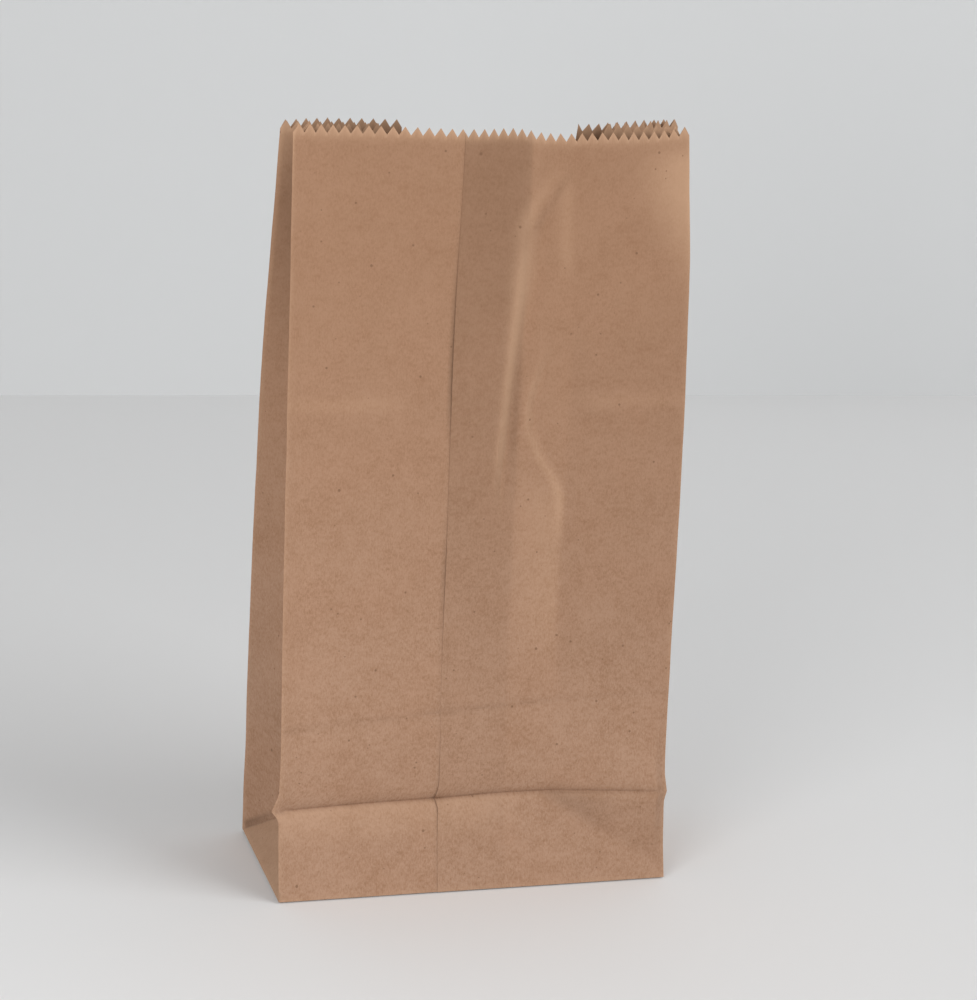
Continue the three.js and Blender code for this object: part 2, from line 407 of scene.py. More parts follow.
def panel_relief(x, v):
    """What crosses the whole panel: its bow, the printed line, the band and the bend at its right edge."""
    middle = np.clip(1 - (x / HALF_WIDTH) ** 2, 0, 1)
    bow = BOW_OUT * ease(BOW_OUT_FROM, HEIGHT, v) - BOW_IN * bell(v, BOW_IN_AT, BOW_IN_REACH)
    printed = PRINT_DEPTH * fall_off(v - through(PRINT_LINE, x), PRINT_REACH, PRINT_REACH)
    band = BAND_HEIGHT * bell(v, BAND_AT, BAND_WIDTH)
    edge = EDGE_DEPTH * np.clip((x - EDGE_X) / EDGE_WIDTH, 0, 1) ** 2
    bent = edge * stretch(v, 170, 195, 232, HEIGHT, rest=0.3)
    return middle * bow - printed * print_strength(x) + band * band_strength(x) - bent


def foot_relief(x, v):
    """The right corner of the foot stands out above a slanting line."""
    above_line = np.clip(v - slant(FOOT_LINE, x), 0, None) * ease(24, 34, x)
    above_crease = np.maximum(v - through(CREASE_LINE, x), 0)
    return FOOT_SLOPE * above_line * np.exp(-above_crease / FOOT_ABOVE) * (v < FOOT_TOP)


def front_relief(x, v):
    """How far the front stands out from the flat. The upright folds at its edges stay where they are."""
    out = crease_relief(x, v) + panel_relief(x, v) + foot_relief(x, v)
    out = out + sum(ridge(x, v, **each) for each in RIDGES)
    out = out + sum(mark(x, v, **each) for each in SMALL_MARKS)
    return out * ease(0, FIXED_EDGE, HALF_WIDTH - np.abs(x))


ridge_top = front_relief(np.array([9.0]), np.array([221.0]))[0]
print(f"the ridge stands out {ridge_top:.1f} mm at 221 mm up")

# %% [markdown]
# ## The lap, the mouth and the back
# The lap was glued a little askew, so its free edge drifts to the right on the way up, and here and there it
# stands off the layer below. The dents use up some of the paper's height, so the mouth sits lower above
# them. The back follows its own curve at the mouth, where its right part lies against the pleat.

# %% Lap, mouth and back
LAYER_GAP = 0.11
LAP_LINE = [
    (0, 0.6), (25, 1.2), (31, 1.5), (40, 1.2), (60, 0.8), (110, 0.8), (180, 0.6), (210, 1.3), (230, 2.2),
    (248, 2.8),
]
LAP_LIFTS = [
    (0, 0.02), (16, 0.06), (24, 0.2), (29, 0.4), (31, 0.3), (36, 0.15), (46, 0.02), (88, 0.02), (107, 0.12),
    (124, 0.02), (148, 0.04), (160, 0.2), (192, 0.2), (208, 0.03), (248, 0),
]
LIFT_REACH = 5.5
LIFT_FULL, LIFT_NONE = 40, 64
SHIFT_LEFT, SHIFT_RIGHT = 45, 34
BUCKLE = [
    (-66, 0), (-40, 0.3), (-29, 0.5), (-13, 1), (10, 1), (14, 1.7), (21, 2.1), (25, 2.1), (35, 1.7),
    (48, 1.6), (58, 1), (66, 0),
]
BUCKLE_FROM, BUCKLE_TO = 140, 235
BACK_SHAPE = [
    (-66, 0), (-60, 3.2), (-50, 5.8), (-38, 4), (-25, 0.6), (-5, 0), (15, -5), (30, -9.4), (39, -6.6),
    (46, -4), (52, -1.9), (58, -0.9), (66, 0),
]


def lap_lift(x, v):
    """How far the lap's free edge stands off the layer below."""
    from_edge = x - front_x[LAP_FREE]
    lift = LAYER_GAP + through(LAP_LIFTS, v) * np.exp(-(from_edge / LIFT_REACH) ** 2)
    return lift * (1 - ease(LIFT_FULL, LIFT_NONE, x))


def lap_shift(x, v):
    """How far the paper near the lap's free edge lies to the right."""
    from_edge = x - front_x[LAP_FREE]
    return through(LAP_LINE, v) * stretch(from_edge, -SHIFT_LEFT, 0, 0, SHIFT_RIGHT)


def buckle(x, v):
    """How much lower the mouth sits."""
    return through(BUCKLE, x) * ease(BUCKLE_FROM, BUCKLE_TO, v)


def back_relief(x, v):
    """How far the back stands back from the flat."""
    return np.exp(-(HEIGHT - v) / MOUTH_REACH) * through(BACK_SHAPE, x)


print("the lap's edge moves right by", LAP_LINE[0][1], "to", LAP_LINE[-1][1], "mm")

# %% [markdown]
# ## Folding the walls
# Each panel is drawn between its two folds, then the relief is added square to it. The crease doesn't run
# quite level, so the rows near it slide along the paper until one of them lies in the crease. The seven
# panels are numbered in their order along the strip.

# %% Walls
SLIDE_EDGE, SLIDE_REACH = 6, 14
OVER, RIGHT_FRONT, RIGHT_BACK, BACK, LEFT_BACK, LEFT_FRONT, UNDER = range(7)


def face(left, right_edge, x):
    share = ((x + HALF_WIDTH) / (2 * HALF_WIDTH))[None, :, None]
    return mix(left[:, None], right_edge[:, None], share)


def along_crease(points, x):
    """Slides the rows near the crease, and says how far up the paper each point is then."""
    shift = (through(CREASE_LINE, x) - CREASE) * ease(0, SLIDE_EDGE, HALF_WIDTH - np.abs(x))
    place = rows[:, None] + shift[None] * np.clip(1 - np.abs(rows[:, None] - CREASE) / SLIDE_REACH, 0, 1)
    moved = [[np.interp(place[:, c], rows, points[:, c, k]) for k in range(3)] for c in range(len(x))]
    return np.array(moved).transpose(2, 0, 1), place


def front_part(x):
    """The columns of the front at x, with their relief."""
    points, up = along_crease(face(front_left, front_right, x), x)
    points[:, :, 0] += lap_shift(x[None], up)
    points[:, :, 1] -= front_relief(x[None], up)
    points[:, :, 2] -= buckle(x[None], up)
    return points, up


over, over_v = front_part(over_x)
over[:, :, 1] -= lap_lift(over_x[None], over_v)
under, under_v = front_part(under_x)
back_x = mix(HALF_WIDTH, -HALF_WIDTH, back_part)
back = mix(back_right[:, None], back_left[:, None], back_part[None, :, None])
back[:, :, 1] += back_relief(back_x[None], rows[:, None])
panels = [over, right_front, right_back, back, left_back, left_front, under]
panel_sizes = [part.shape[1] for part in panels]
panel = np.repeat(np.arange(len(panels)), panel_sizes)
is_front = (panel == OVER) | (panel == UNDER)
is_back = panel == BACK
is_pleat = ~(is_front | is_back)
walls = np.concatenate(panels, axis=1)
print("walls", walls.shape)

# %% [markdown]
# ## Folding the bottom
# The lower end of the tube folds in on all four sides. The two short ends go in first as triangles, then
# the front flap and last the back flap, which overlap in the middle and are glued. The layers lie a paper
# thickness apart, with the back flap lowest, and slant in at the corners so that neighbours share an edge.

# %% Bottom
FLAP_LENGTH = 37.0
END_LENGTH = 30.9
FLAP_STEPS = np.array([1.0, 0.8, 0.6, 0.4, 0.2, 0.08, 0.03])
OVER_LEVEL, UNDER_LEVEL, BACK_LEVEL, END_LEVEL, CORNER_LEVEL = 0.22, 0.40, 0.03, 0.60, 0.42
LEVEL_SLANT, LENGTH_SLANT, FLAP_TURN = 6, 20, 0.2
foot = walls[0]
from_corner = np.where(is_pleat, HALF_DEPTH - np.abs(foot[:, 1]), HALF_WIDTH - np.abs(foot[:, 0]))
flap_level = np.select(
    [panel == OVER, panel == UNDER, is_back], [OVER_LEVEL, UNDER_LEVEL, BACK_LEVEL], END_LEVEL,
)
flap_level = mix(CORNER_LEVEL, flap_level, ease(0, LEVEL_SLANT, from_corner))
long_flap = mix(END_LENGTH, FLAP_LENGTH, ease(0, LENGTH_SLANT, from_corner))
flap_length = np.where(is_pleat, END_LENGTH, long_flap)
depth = FLAP_STEPS[:, None] * flap_length[None]
inward = foot[:, :2] - np.sign(foot[:, :2]) * depth[:, :, None]
narrowed = foot[:, :2] * (1 - depth[:, :, None] / np.array([HALF_WIDTH, HALF_DEPTH]))
flap_x = np.where(is_pleat, inward[:, :, 0], narrowed[:, :, 0])
flap_y = np.where(is_pleat, narrowed[:, :, 1], inward[:, :, 1])
flap_z = mix(foot[None, :, 2], flap_level[None], ease(0, FLAP_TURN, FLAP_STEPS)[:, None])
sheet = np.concatenate([np.stack([flap_x, flap_y, flap_z], axis=2), walls], axis=0)
print("sheet", sheet.shape, "rows, columns and coordinates")

# %% [markdown]
# ## Places on the flat sheet
# The finish has to know where each point was on the flat sheet, so that the fibres run with the paper and
# not with the room. It is the way along the strip, measured in one row near the crease, and the way up the
# paper, which is less than nothing on the bottom flaps. Marks are also placed by x across the front, by the
# distance from the crease and the lines above, and by how far a point of a pleat is past the foot's
# diagonal fold.

# %% Places on the sheet
MEASURED_ROW = 20
NOT_IN_FOOT = -9.0
step_across = np.linalg.norm(np.diff(walls[MEASURED_ROW], axis=0), axis=1)
along = np.concatenate([[0], np.cumsum(step_across)])
up_walls = np.broadcast_to(rows[:, None], walls.shape[:2]).copy()
up_walls[:, panel == OVER] = over_v
up_walls[:, panel == UNDER] = under_v
up = np.concatenate([-depth, up_walls], axis=0)
across = np.zeros(len(panel))
across[panel == OVER] = over_x
across[panel == UNDER] = under_x
across = across[None]
from_crease = up - through(CREASE_LINE, across)
from_print = up - through(PRINT_LINE, across)
from_fold = across - line_at(FOLD_LINE, up)
from_hook = across - line_at(HOOK_LINE, up)
from_streak = across - line_at(STREAK_LINE, up)
from_lap = across - front_x[LAP_FREE]
below_crease = (from_crease < 0) & (up > 0)
share_out = np.zeros(len(panel))
share_out[is_pleat] = np.concatenate([to_middle, to_edge, to_middle, to_edge])
in_foot = is_pleat[None] & (up >= 0) & (up < CREASE)
past_diagonal = np.where(in_foot, share_out[None] - up / CREASE, NOT_IN_FOOT)
print(up.size, "points placed on the flat sheet")

# %% [markdown]
# ## Where the paper is rubbed, and where highlights are painted on
# Paper goes pale where its fibres have broken: at folds, at cut edges and where handling has rubbed it. The
# same pale colour is painted on as highlight where the light falls: together with rubbing on the ridge, on
# the hook and along the crease, and alone on the foot triangles, near the mouth right of the ridge, as a
# sheen at the right edge, on the band, below the crease on the left, on the patch and beside the streak.
# Each pale place of the front is a soft shape from 0 to 1, and the list says how strong each one is.

# %% Rubbed places and painted highlights
FOLD_REACH, CREASE_REACH, EDGE_REACH = 0.7, 0.7, 0.8
STREAK_FADE = 5
FOLD_RUBBED, MOUTH_RUBBED, FOOT_RUBBED, TRIANGLE_HIGHLIGHT, INSIDE_RUBBED = 0.3, 0.9, 0.25, 0.6, 0.35
RIGHT_EDGE_LINE = [(69, 174), (42, 228)]


def near(columns):
    """1 at some columns of the strip, falling away within a millimetre or two."""
    off = np.min(np.abs(along[:, None] - along[columns][None]), axis=1)
    return np.exp(-off / FOLD_REACH)[None]


fold_columns = np.cumsum(panel_sizes)[:-1] - 1
corner_folds, middle_folds = fold_columns[[0, 2, 3, 5]], fold_columns[[1, 4]]
wear_and_highlight = FOLD_RUBBED * (near(corner_folds) + near(middle_folds) * (up > CREASE))
wear_and_highlight += MOUTH_RUBBED * fall_off(up - MOUTH, EDGE_REACH, EDGE_REACH)
wear_and_highlight += FOOT_RUBBED * fall_off(up, EDGE_REACH, EDGE_REACH)
# painted highlight: the foot triangles are lighter where they face up into the light
wear_and_highlight += TRIANGLE_HIGHLIGHT * ease(0, 0.05, past_diagonal)
wear_and_highlight += INSIDE_RUBBED * ease(222, 246, up) * ~is_front[None]
# rubbed paper and a painted highlight along the lit flank of the ridge
fold_rub_and_highlight = bell(from_fold, 1.7, 1.9 + 1.6 * ease(165, 210, up)) * stretch(up, 122, 150, 198, 232, rest=0.1)
# rubbed paper and a painted highlight along the lit flank of the hook
hook_rub_and_highlight = bell(from_hook, 1.6, 1.6) * stretch(up, 112, 135, 165, 182)
# painted highlight near the mouth, right of the ridge
side_highlight = bell(across, 23.5, 2.5) * stretch(up, 198, 210, 228, 242)
# painted sheen at the right edge of the front, near the mouth
from_edge = across - line_at(RIGHT_EDGE_LINE, up)
edge_sheen = ease(0, 24, from_edge) * stretch(up, 180, 215, 236, 246, rest=0.2)
# painted highlight on the upper side of the band across the panel
band_highlight = bell(up, 161.5, 2.6) * band_strength(across)
# painted highlight on the strip below the crease, which faces up
strip_highlight = ease(14, 27, up) * below_crease * (1 - ease(-5, 24, across))
# painted highlight on the patch, left of its edge
patch_highlight = stretch(across, 4, 23, 23.6, 27) * stretch(up, 70, 95, 126, 142)
# painted highlight beside the streak, on its upper left
streak_highlight = bell(from_streak, -3.2, 2.4) * line_ends(STREAK_LINE, up, STREAK_FADE)
# rubbed paper along the crease and a painted highlight just below it
crease_rub_and_highlight = fall_off(from_crease + 1.2, CREASE_REACH, CREASE_REACH)
front_rubs_and_highlights = [
    (0.75, fold_rub_and_highlight), (0.45, hook_rub_and_highlight), (0.25, side_highlight), (0.8, edge_sheen), (0.18, band_highlight),
    (0.3, strip_highlight), (0.24, patch_highlight), (0.25, streak_highlight), (0.2, crease_rub_and_highlight),
]
wear_and_highlight += is_front[None] * sum(strength * pale_place for strength, pale_place in front_rubs_and_highlights)
wear_and_highlight = np.clip(wear_and_highlight, 0, 1)
print("rubbed share", round(float(wear_and_highlight.mean()), 3))

# %% [markdown]
# ## Where shade is painted on the paper
# Two layers together let less light through than one, so the glued lap is painted darker as shade, more so
# towards the mouth, where the light comes in. Shade is also painted into the bottom of folds and dents: the
# crease, the printed line, the streak, the valley right of the ridge, the right corner of the foot and the
# right part of the front beside the patch. A shadow is painted into the gap under the lap's edge, and shade
# inside the left pleat and along the diagonal folds of the feet. These places add up to one number, as the
# pale ones did.

# %% Painted shade
LAYER_SHADE, PLEAT_SHADE = 0.4, 0.42
CORNER_LINE = [(20, 28.5), (62, 2)]
HIDDEN_EDGE = [(0, 10), (150, 9.5), (205, 10.3), (248, 11)]
LAYERS_SEEN = [(-40, 0.15), (60, 0.25), (120, 0.5), (190, 0.74), (215, 0.88), (248, 0.88)]
LAP_PAINTED_SHADOW = [
    (0, 0.1), (60, 0.1), (85, 0.15), (104, 0.4), (124, 0.1), (150, 0.12), (164, 0.5), (186, 0.4),
    (210, 0.1), (248, 0),
]
PRINT_DARK, CREASE_DARK = 0.9, 0.6
# painted shade: the lap is darker where two layers let less light through, more so towards the mouth
over_double = 1 - ease(-1, 1, across - through(HIDDEN_EDGE, up))
under_double = ease(-0.5, 0.5, from_lap)
double = (panel == OVER)[None] * over_double + (panel == UNDER)[None] * under_double
shade = LAYER_SHADE * double * through(LAYERS_SEEN, up)
# painted shade along the printed line
print_painted_shade = fall_off(from_print, PRINT_DARK, PRINT_DARK) * print_strength(across)
# painted shade beside the streak
streak_painted_shade = bell(from_streak, 2, 1.8) * line_ends(STREAK_LINE, up, STREAK_FADE)
# painted shade in the valley right of the ridge
fold_painted_shade = bell(from_fold, 5.2, 1.5) * stretch(up, 140, 150, 172, 190)
# painted shade at the right corner of the foot, below the crease
above_corner = up - slant(CORNER_LINE, across)
corner_painted_shade = ease(0, 6, above_corner) * below_crease * stretch(across, 19, 25, 32, 52, rest=0.25)
# painted shade on the right part of the front beside the patch
right_painted_shade = ease(24.5, 28, across) * stretch(up, 45, 80, 165, 205)
# painted shade in the crease
crease_painted_shade = fall_off(from_crease - 0.2, CREASE_DARK, CREASE_DARK)
front_painted_shades = [
    (0.16, print_painted_shade), (0.16, streak_painted_shade), (0.14, fold_painted_shade), (0.36, corner_painted_shade),
    (0.1, right_painted_shade), (0.22, crease_painted_shade),
]
shade += is_front[None] * sum(strength * place for strength, place in front_painted_shades)
# painted shadow in the gap under the lap's free edge
shade += bell(from_lap, -0.4, 0.8) * (panel == UNDER)[None] * through(LAP_PAINTED_SHADOW, up)
# painted shade inside the top of the left pleat
shade += PLEAT_SHADE * ease(140, 235, up) * (panel == LEFT_BACK)[None]
# painted shade along the diagonal folds of the feet
shade += bell(past_diagonal, -0.035, 0.045) * (1 - 0.7 * ease(0, 0.6, share_out))[None]
shade = np.clip(shade, 0, 1)
print("darker share", round(float(shade.mean()), 3))

# %% [markdown]
# ## Places along the teeth
# Each point of the top row knows its place along the teeth, counted in whole teeth, and which way a tooth
# there points: up the paper, and a little in or out, because no tooth stays quite flat.

# %% Teeth
MOST_TEETH, CURLS, CURL = 45, 600, 0.13
quarter_count = np.arange(4 * TEETH + 1) / 4
pleat_count = np.arange(1, PLEAT_STEPS + 1) / 2
tooth = np.concatenate([
    quarter_count[LAP_FREE:], pleat_count, pleat_count, np.arange(1, BACK_STEPS + 1) / 2,
    pleat_count, pleat_count, quarter_count[1:LAP_HIDDEN + 1],
])
rng = np.random.default_rng(11)
rise = sheet[-1] - sheet[-3]
rise /= np.linalg.norm(rise, axis=1)[:, None]
run = np.gradient(sheet[-1], axis=0)
outward = np.cross(run, rise)
outward /= np.maximum(np.linalg.norm(outward, axis=1)[:, None], NEARLY_NOTHING)
curl = rng.normal(0, CURL, CURLS)[np.floor(tooth).astype(int) + MOST_TEETH * panel]
tooth_up = np.zeros_like(sheet)
tooth_up[-1] = rise + outward * curl[:, None]
print("teeth on the strip", len(np.unique(np.floor(tooth) + MOST_TEETH * panel)))

# %% [markdown]
# ## The mesh
# The points become a grid of four-sided faces. The foot of each pleat is split into triangles along its
# diagonal folds, and the faces of the thumb notch in the back are left out. Two triangles cut each corner of
# the notch. The numbers from the cells above go along as attributes of the points.

# %% Mesh of the sheet
NOTCH_LEFT, NOTCH_RIGHT = -26.4, 27.5
row_count, column_count = sheet.shape[:2]
first_wall = len(FLAP_STEPS)
foot_end = first_wall + FOOT_ROWS
notch_row = row_count - NOTCH_ROWS
in_notch = is_back & (foot[:, 0] > NOTCH_LEFT) & (foot[:, 0] < NOTCH_RIGHT)
faces = []
for r in range(row_count - 1):
    for c in range(column_count - 1):
        a, b = r * column_count + c, r * column_count + c + 1
        d, e = a + column_count, b + column_count
        if r >= notch_row and (in_notch[c] or in_notch[c + 1]):
            continue
        if first_wall <= r < foot_end and panel[c + 1] in (RIGHT_FRONT, LEFT_BACK):
            faces += [(a, b, e), (a, e, d)]
        elif first_wall <= r < foot_end and panel[c + 1] in (RIGHT_BACK, LEFT_FRONT):
            faces += [(a, b, d), (b, e, d)]
        else:
            faces.append((a, b, e, d))
notch_columns = np.flatnonzero(in_notch)
first, last = int(notch_columns[0]) - 1, int(notch_columns[-1]) + 1
for side, inner in ((first, first + 1), (last, last - 1)):
    floor_inner = notch_row * column_count + inner
    low_side, mid_side, high_side = ((notch_row + step) * column_count + side for step in range(3))
    corner = [(low_side, floor_inner, mid_side), (mid_side, floor_inner, high_side)]
    faces += corner if side < inner else [triangle[::-1] for triangle in corner]
mesh = bpy.data.meshes.new("paper_bag_sheet")
mesh.from_pydata((sheet.reshape(-1, 3) * MM).tolist(), [], faces)


def carry(name, kind, values):
    field = mesh.attributes.new(name, kind, "POINT")
    key = "vector" if kind == "FLOAT_VECTOR" else "value"
    field.data.foreach_set(key, np.asarray(values, np.float32).ravel())


flat_place = np.stack([np.broadcast_to(along[None], up.shape), up, 0 * up], axis=2)
carry("flat", "FLOAT_VECTOR", flat_place * MM)
carry("wear_and_highlight", "FLOAT", wear_and_highlight)
carry("shade", "FLOAT", shade)
carry("tooth", "FLOAT", np.broadcast_to(tooth[None], up.shape))
carry("tooth_up", "FLOAT_VECTOR", tooth_up)
bag = bpy.data.objects.new("paper_bag_sheet", mesh)
bpy.context.scene.collection.objects.link(bag)
print(len(mesh.vertices), "points,", len(mesh.polygons), "faces")

# %% [markdown]
# ## A short way to write node trees
# Shader and geometry trees are easier to read as sums. A Wire is a value somewhere in a tree, and adding or
# multiplying wires makes the maths nodes. Every other node is made by one method: settings first, because
# some of them change which sockets there are, then the sockets.

# %% Node helpers
class Wire:
    """A value in a node tree that takes part in ordinary arithmetic."""

    def __init__(self, graph, socket):
        self.graph, self.socket = graph, socket

    def __add__(self, other):
        return self.graph.maths("ADD", self, other)

    def __sub__(self, other):
        return self.graph.maths("SUBTRACT", self, other)

    def __rsub__(self, other):
        return self.graph.maths("SUBTRACT", other, self)

    def __mul__(self, other):
        return self.graph.maths("MULTIPLY", self, other)

    __radd__, __rmul__ = __add__, __mul__


class Graph:
    """A node tree with one way of adding a node."""

    def __init__(self, tree):
        self.tree = tree

    def node(self, kind, sockets=None, **settings):
        made = self.tree.nodes.new(kind)
        for name, value in settings.items():
            setattr(made, name, value)
        for key, value in (sockets or {}).items():
            if isinstance(value, Wire):
                self.tree.links.new(value.socket, made.inputs[key])
            else:
                made.inputs[key].default_value = value
        return made

    def wire(self, kind, sockets=None, output=0, **settings):
        return Wire(self, self.node(kind, sockets, **settings).outputs[output])

    def maths(self, operation, *values):
        return self.wire("ShaderNodeMath", dict(enumerate(values)), operation=operation)

    def between(self, value, start, end):
        """0 below start, 1 above end, with a soft step between them."""
        places = {"Value": value, "From Min": start, "From Max": end}
        return self.wire("ShaderNodeMapRange", places, interpolation_type="SMOOTHSTEP")


print("node helpers ready")

# %% [markdown]
# ## Teeth and cockle
# Two things on the paper repeat or cover it all: the teeth along the mouth, and the slight waviness, called
# cockle, of a thin sheet. A geometry tree does both. It lifts each point of the top row by a zigzag of its
# place along the teeth, then moves the walls in and out by a smooth noise. Its sizes are named inputs.

# %% Geometry tree
SOCKETS = [
    ("Tooth height", "Float"), ("Cockle height", "Float"), ("Cockle size", "Float"), ("Seed", "Float"),
    ("Paper", "Material"),
]
FINE_COCKLE, FINE_SHARE = 3.5, 0.25
COCKLE_FROM, COCKLE_FULL = 0.001, 0.012
tree = bpy.data.node_groups.new("teeth and cockle", "GeometryNodeTree")
tree.interface.new_socket("Geometry", in_out="INPUT", socket_type="NodeSocketGeometry")
inputs = {}
for name, kind in SOCKETS:
    inputs[name] = tree.interface.new_socket(name, in_out="INPUT", socket_type=f"NodeSocket{kind}")
tree.interface.new_socket("Geometry", in_out="OUTPUT", socket_type="NodeSocketGeometry")
g = Graph(tree)
group = g.node("NodeGroupInput")
given = {socket.name: Wire(g, socket) for socket in group.outputs if socket.name}
position = g.wire("GeometryNodeInputPosition")


def named(name, kind):
    return g.wire("GeometryNodeInputNamedAttribute", {"Name": name}, data_type=kind)


def scaled(vector, amount):
    return g.wire("ShaderNodeVectorMath", {0: vector, "Scale": amount}, operation="SCALE")


def cockle(scale, detail):
    """A smooth noise about 0."""
    sockets = {"Vector": position, "W": given["Seed"], "Scale": scale, "Detail": detail}
    return g.wire("ShaderNodeTexNoise", sockets, noise_dimensions="4D") - 0.5


zigzag = g.maths("PINGPONG", named("tooth", "FLOAT"), 0.5) * 2 * given["Tooth height"]
tooth_step = scaled(named("tooth_up", "FLOAT_VECTOR"), zigzag)
toothed = g.wire("GeometryNodeSetPosition", {"Geometry": given["Geometry"], "Offset": tooth_step})
wide_scale = g.maths("DIVIDE", 1, given["Cockle size"])
height_up = g.wire("ShaderNodeSeparateXYZ", {0: named("flat", "FLOAT_VECTOR")}, output=1)
wave = (cockle(wide_scale, 1.5) + cockle(wide_scale * FINE_COCKLE, 1) * FINE_SHARE) * 2
wave = wave * given["Cockle height"] * g.between(height_up, COCKLE_FROM, COCKLE_FULL)
wave_step = scaled(g.wire("GeometryNodeInputNormal"), wave)
cockled = g.wire("GeometryNodeSetPosition", {"Geometry": toothed, "Offset": wave_step})
whole = g.wire("GeometryNodeRealizeInstances", {"Geometry": cockled})
coated = g.wire("GeometryNodeSetMaterial", {"Geometry": whole, "Material": given["Paper"]})
g.node("NodeGroupOutput", {"Geometry": coated})
print("geometry tree with", len(tree.nodes), "nodes")

# %% [markdown]
# ## Kraft paper
# Brown kraft paper is unbleached pulp: a warm brown with cloudy patches, fine fibres, a few dark specks of
# bark and a matt surface. Folds and cut edges are paler where the fibres have broken. The patterns use the
# flat sheet's own places, so they bend with the folds.

# %% Paper colours and tools
KRAFT = (0.384, 0.235, 0.156, 1)
KRAFT_TOP_PAINTED_SHADE = (0.318, 0.180, 0.108, 1)
KRAFT_DARK = (0.262, 0.138, 0.076, 1)
KRAFT_RED = (0.356, 0.200, 0.124, 1)
KRAFT_PALE = (0.600, 0.385, 0.245, 1)
SHADED = (0.50, 0.49, 0.48, 1)
BARK = (0.150, 0.075, 0.040, 1)
paper = bpy.data.materials.new("kraft_paper")
paper.use_nodes = True
paper.node_tree.nodes.clear()
p = Graph(paper.node_tree)


def attribute(name, output):
    return p.wire("ShaderNodeAttribute", output=output, attribute_name=name)


def noise(vector, scale, detail, rough=0.5):
    sockets = {"Vector": vector, "Scale": scale, "Detail": detail, "Roughness": rough}
    return p.wire("ShaderNodeTexNoise", sockets)


def tint(factor, first, second, blend="MIX"):
    sockets = {0: factor, 6: first, 7: second}
    return p.wire("ShaderNodeMix", sockets, output=2, data_type="RGBA", blend_type=blend)


print("paper tools ready")

# %% [markdown]
# The paper is painted darker and warmer towards the mouth, as shade for the light that falls there. The
# tone is a sum of patterns of four sizes, from clouds to fibres, and darkens the paper. The painted shade
# and the pale places, both the rubbed ones and the painted highlights, follow, then the specks of bark.
# Scales count per metre, so 1900 gives fibres of about half a millimetre.

# %% Paper material
GRAIN = (1.0, 0.45, 1.0)
TOP_SHADE_FROM, TOP_SHADE_TO = 0.02, 0.23
CLOUDS, MOTTLE, FLECKS, FIBRES, DARKNESS = 0.8, 0.9, 1.1, 2.3, 0.3
BLUSH, RUBBED_AND_HIGHLIGHT, SPECK = 0.3, 0.5, 0.65
SPECK_SCALE, SPECK_VARIES, SPECK_SIZE, SPECK_EDGE = 210.0, 0.25, 0.15, 0.20
FIBRE_BUMP, FIBRE_HEIGHT = 0.12, 0.0002
ROUGHNESS, SPECULAR = 0.82, 0.25
flat = attribute("flat", 1)
wear_and_highlight_amount, shade_amount = attribute("wear_and_highlight", 2), attribute("shade", 2)
grain = p.wire("ShaderNodeVectorMath", {0: flat, 1: GRAIN}, operation="MULTIPLY")
clouds = noise(flat, 60, 3)
mottle = noise(flat, 260, 2)
flecks = noise(flat, 800, 2)
fibres = noise(grain, 1900, 3, 0.75)
tone = (clouds - 0.5) * CLOUDS + (mottle - 0.5) * MOTTLE + (fibres - 0.5) * FIBRES
tone = tone + (flecks - 0.5) * FLECKS + DARKNESS
blush = noise(flat, 45, 2)
up_sheet = p.wire("ShaderNodeSeparateXYZ", {0: flat}, output=1)
# painted shade: the paper turns darker and warmer towards the mouth
colour = tint(p.between(up_sheet, TOP_SHADE_FROM, TOP_SHADE_TO), KRAFT, KRAFT_TOP_PAINTED_SHADE)
colour = tint(p.between(blush, 0.4, 0.7) * BLUSH, colour, KRAFT_RED)
colour = tint(p.between(tone, -0.3, 1.3), colour, KRAFT_DARK)
# painted shade from the shade attribute
colour = tint(shade_amount, colour, SHADED, "MULTIPLY")
# pale colour for rubbed places and painted highlights
colour = tint(wear_and_highlight_amount * RUBBED_AND_HIGHLIGHT, colour, KRAFT_PALE)
specks = p.wire("ShaderNodeTexVoronoi", {"Vector": flat, "Scale": SPECK_SCALE, "Randomness": 1.0})
speck_size = noise(flat, 90, 1)
speck = 1 - p.between(specks + (1 - speck_size) * SPECK_VARIES, SPECK_SIZE, SPECK_EDGE)
colour = tint(speck * SPECK, colour, BARK)
bump = p.wire("ShaderNodeBump", {"Height": fibres, "Strength": FIBRE_BUMP, "Distance": FIBRE_HEIGHT})
look = p.wire("ShaderNodeBsdfPrincipled", {
    "Base Color": colour, "Roughness": ROUGHNESS, "Specular IOR Level": SPECULAR, "Normal": bump,
})
p.node("ShaderNodeOutputMaterial", {"Surface": look})
print("paper material with", len(paper.node_tree.nodes), "nodes")

# %% [markdown]
# ## Finishing the sheet
# The geometry tree runs, then Solidify gives the paper its thickness towards the inside. The result is
# baked into a plain mesh, smooth everywhere except along the folds.

# %% Thickness and bake
COCKLE_HEIGHT, COCKLE_SIZE, COCKLE_SEED = 0.25, 24, 4.0
SHARP_ANGLE = math.radians(28)
settings = {
    "Tooth height": TOOTH_HEIGHT * MM, "Cockle height": COCKLE_HEIGHT * MM, "Cockle size": COCKLE_SIZE * MM,
    "Seed": COCKLE_SEED, "Paper": paper,
}
nodes_step = bag.modifiers.new("teeth and cockle", "NODES")
nodes_step.node_group = tree
for name, value in settings.items():
    nodes_step[inputs[name].identifier] = value
thicken = bag.modifiers.new("paper thickness", "SOLIDIFY")
thicken.thickness = PAPER * MM
thicken.offset = -1
depsgraph = bpy.context.evaluated_depsgraph_get()
finished = bag.evaluated_get(depsgraph)
baked = bpy.data.meshes.new_from_object(finished, preserve_all_data_layers=True, depsgraph=depsgraph)
bag.modifiers.clear()
bag.data = baked
baked.name = "paper_bag_sheet"
baked.shade_smooth()
baked.set_sharp_from_angle(angle=SHARP_ANGLE)
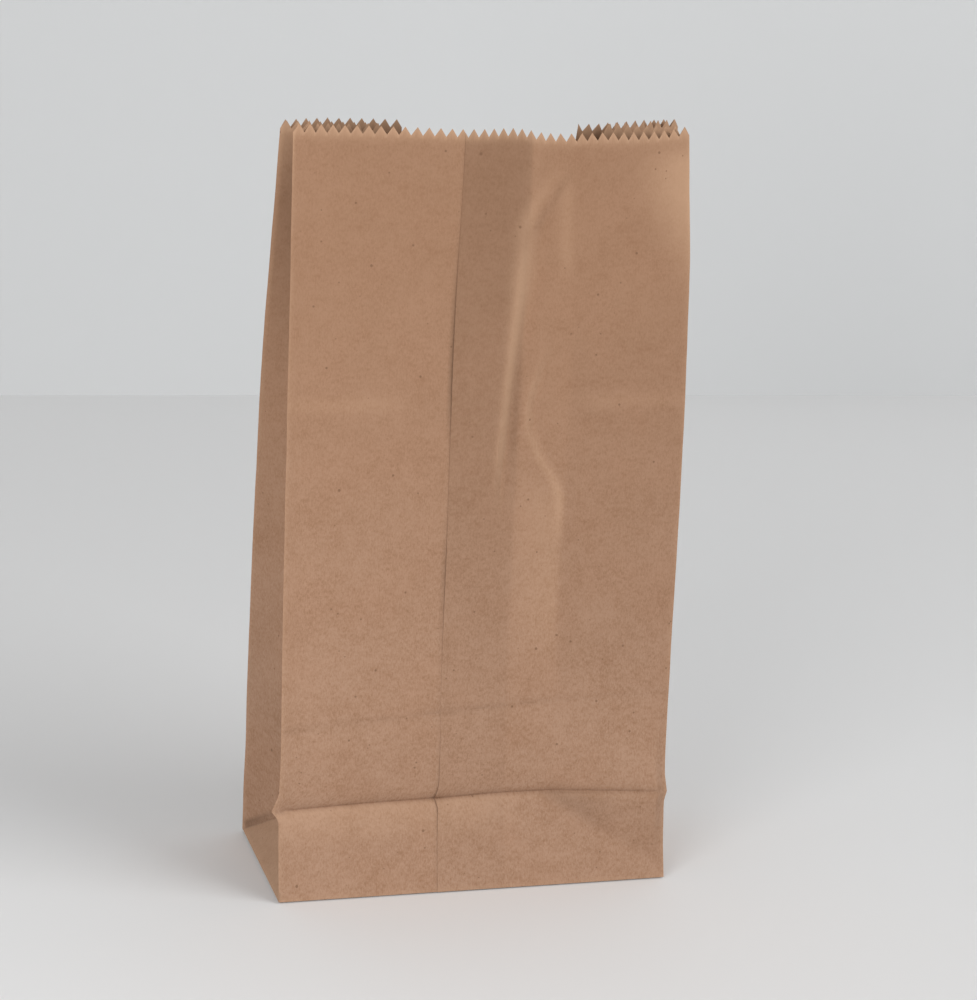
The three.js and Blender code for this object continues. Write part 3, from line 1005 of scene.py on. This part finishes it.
baked.calc_loop_triangles()
print("baked", len(baked.vertices), "points,", len(baked.loop_triangles), "triangles")

# %% [markdown]
# ## The floor and the backdrop
# In the photograph the bag stands on a plain pale table in front of a plain pale wall. Two flat surfaces are
# enough. They are only a stage for the picture and aren't part of the bag.

# %% Floor and backdrop
FLOOR_Z, WALL_TOP, FLOOR_FRONT = -0.0002, 3, -3
WALL_LEFT, WALL_RIGHT = (-3.0, 0.888), (3.0, 0.444)
FLOOR_GREY = (0.815, 0.815, 0.815, 1)
WALL_GREY = (0.715, 0.725, 0.73, 1)


def plain(name, colour):
    """A matt material of one colour."""
    material = bpy.data.materials.new(name)
    material.use_nodes = True
    shader = material.node_tree.nodes["Principled BSDF"]
    shader.inputs["Base Color"].default_value = colour
    shader.inputs["Roughness"].default_value = 0.9
    shader.inputs["Specular IOR Level"].default_value = 0.2
    return material


def flat_stage(name, corners, colour):
    surface = bpy.data.meshes.new(name)
    surface.from_pydata(corners, [], [(0, 1, 2, 3)])
    surface.materials.append(plain(name, colour))
    made = bpy.data.objects.new(name, surface)
    bpy.context.scene.collection.objects.link(made)
    return made


wall_foot = [(*WALL_LEFT, FLOOR_Z), (*WALL_RIGHT, FLOOR_Z)]
wall_head = [(*WALL_RIGHT, WALL_TOP), (*WALL_LEFT, WALL_TOP)]
near_edge = [(WALL_LEFT[0], FLOOR_FRONT, FLOOR_Z), (WALL_RIGHT[0], FLOOR_FRONT, FLOOR_Z)]
floor = flat_stage("floor", near_edge + wall_foot[::-1], FLOOR_GREY)
wall = flat_stage("wall", wall_foot + wall_head, WALL_GREY)
print("stage ready:", floor.name, "and", wall.name)

# %% [markdown]
# ## Light
# The light is that of a bright room: an even white all round, a large soft lamp to the right that models the
# ridge and the crease, and a small soft lamp low on the left that lifts the pleat, the foot and the table
# in front. The levels are plain, so that the paper shows about the colour that was written for it.

# %% Light
SKY_LEVEL = 0.45
world = bpy.data.worlds.new("studio")
bpy.context.scene.world = world
world.use_nodes = True
sky = world.node_tree.nodes["Background"]
sky.inputs["Color"].default_value = (1, 1, 1, 1)
sky.inputs["Strength"].default_value = SKY_LEVEL


def soft_light(name, place, target, size, power):
    lamp = bpy.data.lights.new(name, "AREA")
    lamp.shape = "SQUARE"
    lamp.size = size
    lamp.energy = power
    made = bpy.data.objects.new(name, lamp)
    made.location = place
    made.rotation_euler = (Vector(target) - Vector(place)).to_track_quat("-Z", "Y").to_euler()
    bpy.context.scene.collection.objects.link(made)


soft_light("key", place=(1.5, -1.2, 1.2), target=(0, 0, 0.12), size=1.6, power=24.5)
soft_light("fill", place=(-0.48, -0.62, 0.26), target=(0, -0.1, 0.06), size=0.4, power=3.2)
bpy.context.scene.view_settings.view_transform = "Standard"
print("lights ready")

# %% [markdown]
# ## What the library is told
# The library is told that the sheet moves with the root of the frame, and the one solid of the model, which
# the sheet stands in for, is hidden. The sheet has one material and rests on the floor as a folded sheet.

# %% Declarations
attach(bag, "root")
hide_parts("paper_bag")
